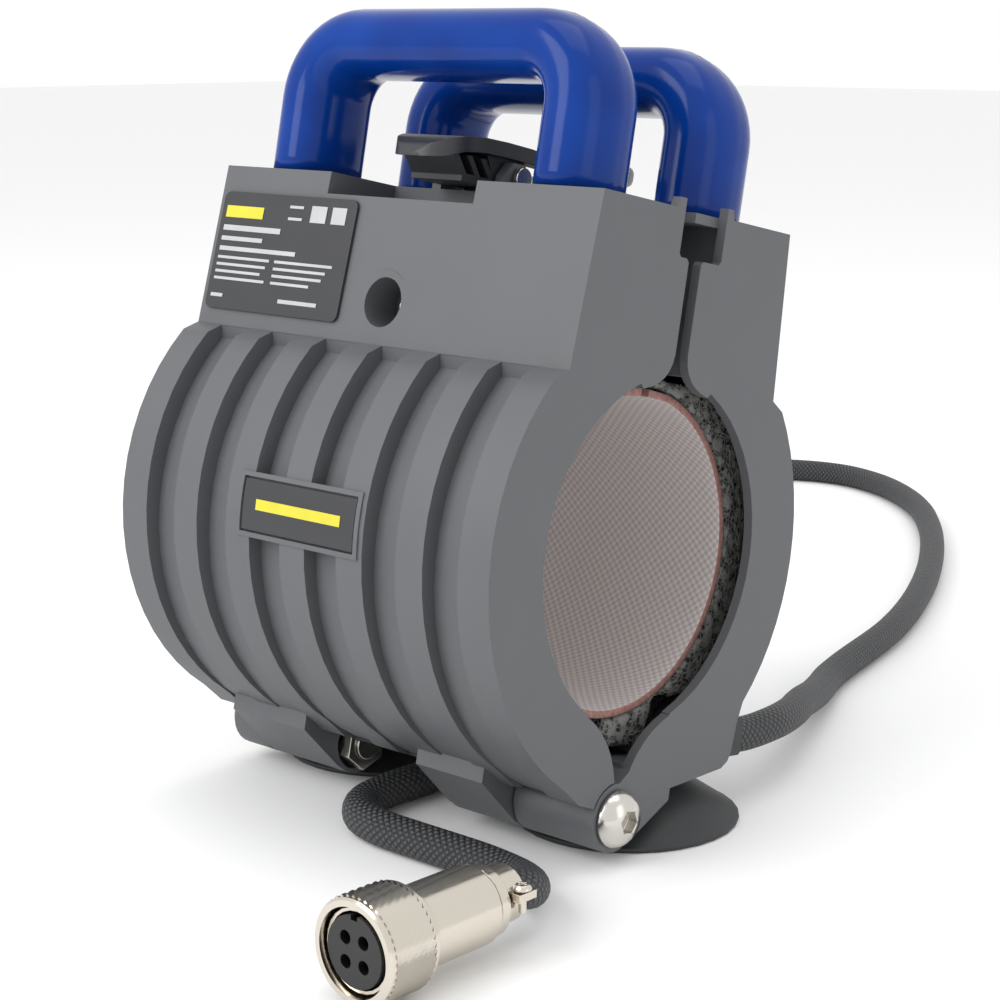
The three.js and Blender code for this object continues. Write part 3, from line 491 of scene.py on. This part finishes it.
cloth, cut_edge = silicone_cloth(), cut_edge_rubber()
whole = mat_section()
whole_run = [0.0]
for (ya, za, *_), (yb, zb, *_) in zip(whole, whole[1:]):
    whole_run.append(whole_run[-1] + math.hypot(yb - ya, zb - za) * MM)
middle, bend = len(whole) // 2, 7
stretches = {
    "front_mat": (0, middle - bend, (0,)),
    "mat_bend": (middle - bend, middle + bend, ()),
    "rear_mat": (middle + bend, len(whole) - 1, (-1,)),
}
for name, (first, last, capped) in stretches.items():
    mat = lining(name, whole[first : last + 1], whole_run[first : last + 1], capped)
    mat.data.materials.append(cloth)
    mat.data.materials.append(cut_edge)
    mat_edge = mat.modifiers.new("edge", "BEVEL")
    mat_edge.width = 0.25 * MM
    mat_edge.segments = 2
    mat_edge.limit_method = "ANGLE"
    mat_edge.angle_limit = math.radians(50)
    if name == "mat_bend":
        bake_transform(mat)
    else:
        half = name.split("_")[0]
        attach(mat, f"{half}_half")
        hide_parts(f"{half}_heater_mat")

# Sponge backing: a grey open-cell silicone sponge in each half, cut to shape, that presses the mat
# against the mug. Its cut ends show the cells.


def open_cell_sponge():
    """Silicone sponge: grey walls round cells of 0.5 to 2 mm, painted dark inside as shade, dull all
    over.
    """
    material, shader = new_material("open_cell_sponge", "5d5e5c", 0.9, ior=1.41)
    place = add_node(material, "TexCoord")
    cells = add_node(
        material,
        "TexVoronoi",
        {"feature": "DISTANCE_TO_EDGE"},
        {"Vector": place.outputs["Object"], "Scale": 750.0},
    )
    clumps = add_node(
        material, "TexNoise", links={"Vector": place.outputs["Object"], "Scale": 420.0, "Detail": 5.0}
    )
    pits = add_node(
        material,
        "MapRange",
        links={"Value": clumps.outputs["Fac"], "From Min": 0.42, "From Max": 0.6},
    )
    wall = add_node(
        material, "MapRange", links={"Value": cells.outputs["Distance"], "From Max": 0.25}
    )
    cell_depth_and_shade = add_node(
        material,
        "Math",
        {"operation": "MULTIPLY"},
        {0: pits.outputs["Result"], 1: wall.outputs["Result"]},
    )
    # Painted shade: the cells are darkened inside as if in shadow, by the same mask that sinks them in
    # the bump.
    tone = add_node(
        material,
        "MixRGB",
        links={"Fac": cell_depth_and_shade.outputs[0], "Color1": linear("7b7c79"), "Color2": linear("1b1b1a")},
    )
    bump = add_node(
        material,
        "Bump",
        {"invert": True},
        {"Strength": 0.9, "Distance": 0.0008, "Height": cell_depth_and_shade.outputs[0]},
    )
    material.node_tree.links.new(tone.outputs[0], shader.inputs["Base Color"])
    material.node_tree.links.new(bump.outputs[0], shader.inputs["Normal"])
    return material


def sponge_from(node, name):
    """The pad's shape with slightly ragged, rounded cut faces."""
    pad = bpy.data.objects.new(name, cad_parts[node].data.copy())
    bpy.context.scene.collection.objects.link(pad)
    pad.data.materials.clear()
    remesh = pad.modifiers.new("cells", "REMESH")
    remesh.mode = "VOXEL"
    remesh.voxel_size = 1.5 * MM
    remesh.use_smooth_shade = True
    ragged = pad.modifiers.new("ragged", "DISPLACE")
    ragged.texture = bpy.data.textures.new(name, "CLOUDS")
    ragged.texture.noise_scale = 3 * MM
    ragged.texture_coords = "GLOBAL"
    ragged.strength = 0.7 * MM
    ragged.mid_level = 0.85
    return pad


sponge = open_cell_sponge()
for half in ("front", "rear"):
    pad = sponge_from(f"{half}_foam_pad", f"{half}_sponge")
    pad.data.materials.append(sponge)
    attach(pad, f"{half}_half")
    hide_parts(f"{half}_foam_pad")

# Latch: a black glass-filled nylon lever on a steel pin pulls a steel rod, whose round disc at the
# rear end drops behind the catch and is turned to set the pressure.


def satin_nylon(name, base, roughness):
    return spark_eroded_plastic(name, base, grain_mm=0.5, depth_mm=0.01, roughness=roughness)


black_nylon = satin_nylon("glass_filled_black_nylon", "2c2d30", 0.42)
grey_nylon = satin_nylon("grey_nylon", "5c5e62", 0.45)
dress("latch_lever", black_nylon, 0.5)
dress("catch_plate", black_nylon, 0.25)
dress("adjuster_disc", grey_nylon, 0.3)
dress("terminal_block", black_nylon, 0.3)
dress("insulator", satin_nylon("black_phenolic", "141415", 0.38), 0.15)

# Metalwork: turned and cold-headed stainless for the bolts, pin, rod and screws, and bright nickel
# plate over brass on the round connector.


def turned_metal(name, base, roughness, streak):
    """Machined metal: fine tool marks stretch the highlights a little, and handling dulls it in
    soft patches."""
    material, shader = new_material(name, base, roughness, metallic=1.0)
    place = add_node(material, "TexCoord")
    smudge = add_node(
        material, "TexNoise", links={"Vector": place.outputs["Object"], "Scale": 160.0, "Detail": 3.0}
    )
    rough = add_node(
        material,
        "MapRange",
        links={"Value": smudge.outputs["Fac"], "To Min": roughness - 0.06, "To Max": roughness + 0.1},
    )
    marks = add_node(
        material, "TexNoise", links={"Vector": place.outputs["Object"], "Scale": 1500.0, "Detail": 2.0}
    )
    bump = add_node(
        material, "Bump", links={"Strength": streak, "Distance": 0.0001, "Height": marks.outputs["Fac"]}
    )
    material.node_tree.links.new(rough.outputs["Result"], shader.inputs["Roughness"])
    material.node_tree.links.new(bump.outputs[0], shader.inputs["Normal"])
    return material


stainless = turned_metal("turned_stainless", "cfccc6", 0.2, 0.12)
for part in (
    "latch_pin", "draw_rod", "adjuster_screw", "catch_screw_left", "catch_screw_right", "panel_screw",
    "hinge_bolt_near", "hinge_bolt_far", "hinge_nut_near", "hinge_nut_far", "foot_screw_left",
    "foot_screw_right", "front_handle_screw_left", "front_handle_screw_right",
    "rear_handle_screw_left", "rear_handle_screw_right", "thermostat",
):
    dress(part, stainless, 0.2)

nickel = turned_metal("bright_nickel_plate", "d3ccc0", 0.18, 0.1)
for part in (
    "connector_body", "connector_collar", "clamp_saddle", "clamp_screw_left", "clamp_screw_right",
):
    dress(part, nickel, 0.2)

# Coupling nut: a plain ring with a fine diamond knurl between two smooth lands. It turns freely on
# the connector's body.
nut_low, nut_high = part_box("coupling_nut")
nut_axis = Vector(((nut_low.x + nut_high.x) / 2, 0, (nut_low.z + nut_high.z) / 2))
nut_outer = (nut_high.x - nut_low.x) / 2
nut_bore = 9.7 * MM
knurl_teeth, knurl_rows = 42, 10
land_length, land_depth, knurl_depth = 1.4 * MM, 0.4 * MM, 0.6 * MM
chamfer_length, chamfer_depth = 0.5 * MM, 0.9 * MM


def knurled_ring():
    """The ring's profile turned round the connector's axis, with every other point of the middle
    rows raised, so that the rows between make small diamonds."""
    length = nut_high.y - nut_low.y
    edge, land = nut_outer - chamfer_depth, nut_outer - land_depth
    profile = [(0.0, nut_bore, False), (0.0, edge, False)]
    profile += [(chamfer_length, land, False), (land_length, land, False)]
    for row in range(knurl_rows + 1):
        along = land_length + (length - 2 * land_length) * row / knurl_rows
        profile.append((along, nut_outer, True))
    profile += [(length - land_length, land, False), (length - chamfer_length, land, False)]
    profile += [(length, edge, False), (length, nut_bore, False)]
    bm = bmesh.new()
    rings = []
    for row, (along, radius, toothed) in enumerate(profile):
        ring = []
        for k in range(2 * knurl_teeth):
            angle = math.pi * k / knurl_teeth
            lowered = knurl_depth if toothed and (k + row) % 2 else 0.0
            r = radius - lowered
            point = nut_axis + Vector((r * math.cos(angle), nut_low.y + along, r * math.sin(angle)))
            ring.append(bm.verts.new(point))
        rings.append(ring)
    for near, far in zip(rings, rings[1:] + rings[:1]):
        for k in range(2 * knurl_teeth):
            after = (k + 1) % (2 * knurl_teeth)
            bm.faces.new((near[k], near[after], far[after], far[k]))
    bmesh.ops.recalc_face_normals(bm, faces=bm.faces[:])
    return link_mesh("knurled_coupling_nut", bm)


coupling = knurled_ring()
coupling.data.materials.append(nickel)
coupling_edge = coupling.modifiers.new("split", "EDGE_SPLIT")
coupling_edge.split_angle = math.radians(35)
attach(coupling, "coupling_nut")
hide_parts("coupling_nut")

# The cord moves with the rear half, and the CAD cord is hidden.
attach(cord, "rear_half")
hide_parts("cord")

# Rubber: suction feet and the cord's gland, moulded in black rubber with a dry bloom.


def moulded_rubber():
    """Black nitrile rubber: dull, with a grey bloom that gathers unevenly."""
    material, shader = new_material("moulded_black_rubber", "262728", 0.55, ior=1.52)
    place = add_node(material, "TexCoord")
    bloom = add_node(
        material, "TexNoise", links={"Vector": place.outputs["Object"], "Scale": 90.0, "Detail": 6.0}
    )
    tone = add_node(
        material,
        "MixRGB",
        links={"Fac": bloom.outputs["Fac"], "Color1": linear("1b1c1d"), "Color2": linear("333537")},
    )
    rough = add_node(
        material, "MapRange", links={"Value": bloom.outputs["Fac"], "To Min": 0.42, "To Max": 0.66}
    )
    material.node_tree.links.new(tone.outputs[0], shader.inputs["Base Color"])
    material.node_tree.links.new(rough.outputs["Result"], shader.inputs["Roughness"])
    return material


rubber = moulded_rubber()
for part in ("foot_left", "foot_right", "cord_gland"):
    dress(part, rubber, 0.25)

# Label and badge: black printed film on the panel, and a black badge let into a raised frame.
# Their print is plain bars and blocks.


def printed_film(name, base, roughness):
    """Polyester film with a satin overlay, and the faint wave that an adhesive layer leaves."""
    material, shader = new_material(name, base, roughness, ior=1.55)
    place = add_node(material, "TexCoord")
    wave = add_node(
        material, "TexNoise", links={"Vector": place.outputs["Object"], "Scale": 120.0, "Detail": 2.0}
    )
    tone = add_node(
        material,
        "MixRGB",
        {"blend_type": "MULTIPLY"},
        {"Fac": 0.25, "Color1": linear(base), "Color2": wave.outputs["Fac"]},
    )
    bump = add_node(
        material, "Bump", links={"Strength": 0.1, "Distance": 0.0005, "Height": wave.outputs["Fac"]}
    )
    material.node_tree.links.new(tone.outputs[0], shader.inputs["Base Color"])
    material.node_tree.links.new(bump.outputs[0], shader.inputs["Normal"])
    return material


black_film = printed_film("black_label_film", "2a2b2e", 0.4)
dress("rating_label", black_film, 0.1)
dress("badge_plate", black_film, 0.2)


def print_blocks(name, blocks, surface, material):
    """Flat printed blocks, each (x0, x1, z0, z1) in mm, laid just proud of the surface."""
    bm = bmesh.new()
    for x0, x1, z0, z1 in blocks:
        corners = []
        for lift in (0.0, 0.06):
            for x, z in ((x0, z0), (x1, z0), (x1, z1), (x0, z1)):
                corners.append(bm.verts.new(leaning(x, -surface(z) - lift, z)))
        low, high = corners[:4], corners[4:]
        bm.faces.new(high)
        bm.faces.new(low[::-1])
        for k in range(4):
            bm.faces.new((low[k], low[(k + 1) % 4], high[(k + 1) % 4], high[k]))
    bmesh.ops.recalc_face_normals(bm, faces=bm.faces[:])
    piece = link_mesh(name, bm)
    piece.data.polygons.foreach_set("use_smooth", [False] * len(piece.data.polygons))
    piece.data.materials.append(material)
    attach(piece, "front_half")
    return piece


deck_out, deck_height, panel_height, panel_slope = 36.2, 144, 41, 3.2
film_lift = 0.97
barrel_out, barrel_height, badge_radius, ink_lift = -4, 63.2, 61.0, 0.05


def panel_surface(z):
    return deck_out + (deck_height - z) / panel_height * panel_slope + film_lift


def badge_surface(z):
    return barrel_out + math.sqrt(badge_radius**2 - (z - barrel_height) ** 2) + ink_lift


yellow_ink = printed_film("yellow_ink", "d9cf2e", 0.45)
pale_ink = printed_film("pale_ink", "b9bbbd", 0.45)
print_blocks("label_heading", [(-59.5, -45.5, 130.6, 133.6)], panel_surface, yellow_ink)
label_lines = [
    (-59.5, -38, 127.2, 128.6), (-59.5, -44, 124.6, 125.7), (-59.5, -31, 122, 123.1),
    (-59.5, -40, 119.9, 120.6), (-38, -17, 119.9, 120.6), (-59.5, -41, 118.1, 118.8),
    (-38, -19, 118.1, 118.8), (-59.5, -42.5, 116.3, 117), (-38, -20, 116.3, 117),
    (-59.5, -40.5, 114.5, 115.2), (-38, -24, 114.5, 115.2), (-59.5, -55, 110, 110.9),
    (-34, -20, 110, 111), (-36, -31, 131, 131.7), (-36, -31, 134, 134.7), (-28, -22.5, 130.8, 135),
    (-20.5, -15.5, 130.8, 135),
]
print_blocks("label_lines", label_lines, panel_surface, pale_ink)
print_blocks("badge_bar", [(-13, 16, 60, 62.6)], badge_surface, yellow_ink)

# Studio: a pale floor that runs out of sight, a bright even surround, one big soft light on each
# side and one above.
floor_mesh = bmesh.new()
bmesh.ops.create_grid(floor_mesh, x_segments=1, y_segments=1, size=6)
floor = link_mesh("floor", floor_mesh)
floor_paint, floor_shader = new_material("matt_white_floor", "f4f4f4", 0.9)
floor.data.materials.append(floor_paint)

world = bpy.data.worlds.new("studio")
world.use_nodes = True
world.node_tree.nodes["Background"].inputs["Color"].default_value = (1, 1, 1, 1)
world.node_tree.nodes["Background"].inputs["Strength"].default_value = 1.0
bpy.context.scene.world = world
bpy.context.scene.view_settings.view_transform = "Standard"


def soft_light(name, place, aim, width, height, power):
    lamp = bpy.data.lights.new(name, "AREA")
    lamp.shape = "RECTANGLE"
    lamp.size = width
    lamp.size_y = height
    lamp.energy = power
    light = bpy.data.objects.new(name, lamp)
    light.location = place
    light.rotation_euler = (Vector(aim) - Vector(place)).to_track_quat("-Z", "Y").to_euler()
    bpy.context.scene.collection.objects.link(light)


soft_light("key", (-0.25, -0.95, 0.75), (0, 0, 0.09), 0.7, 0.9, 8)
soft_light("end_light", (1.1, 0.15, 0.45), (0, 0, 0.08), 0.5, 0.8, 1)
soft_light("top", (0.1, 0.2, 1.3), (0, 0, 0.1), 0.9, 0.9, 3)
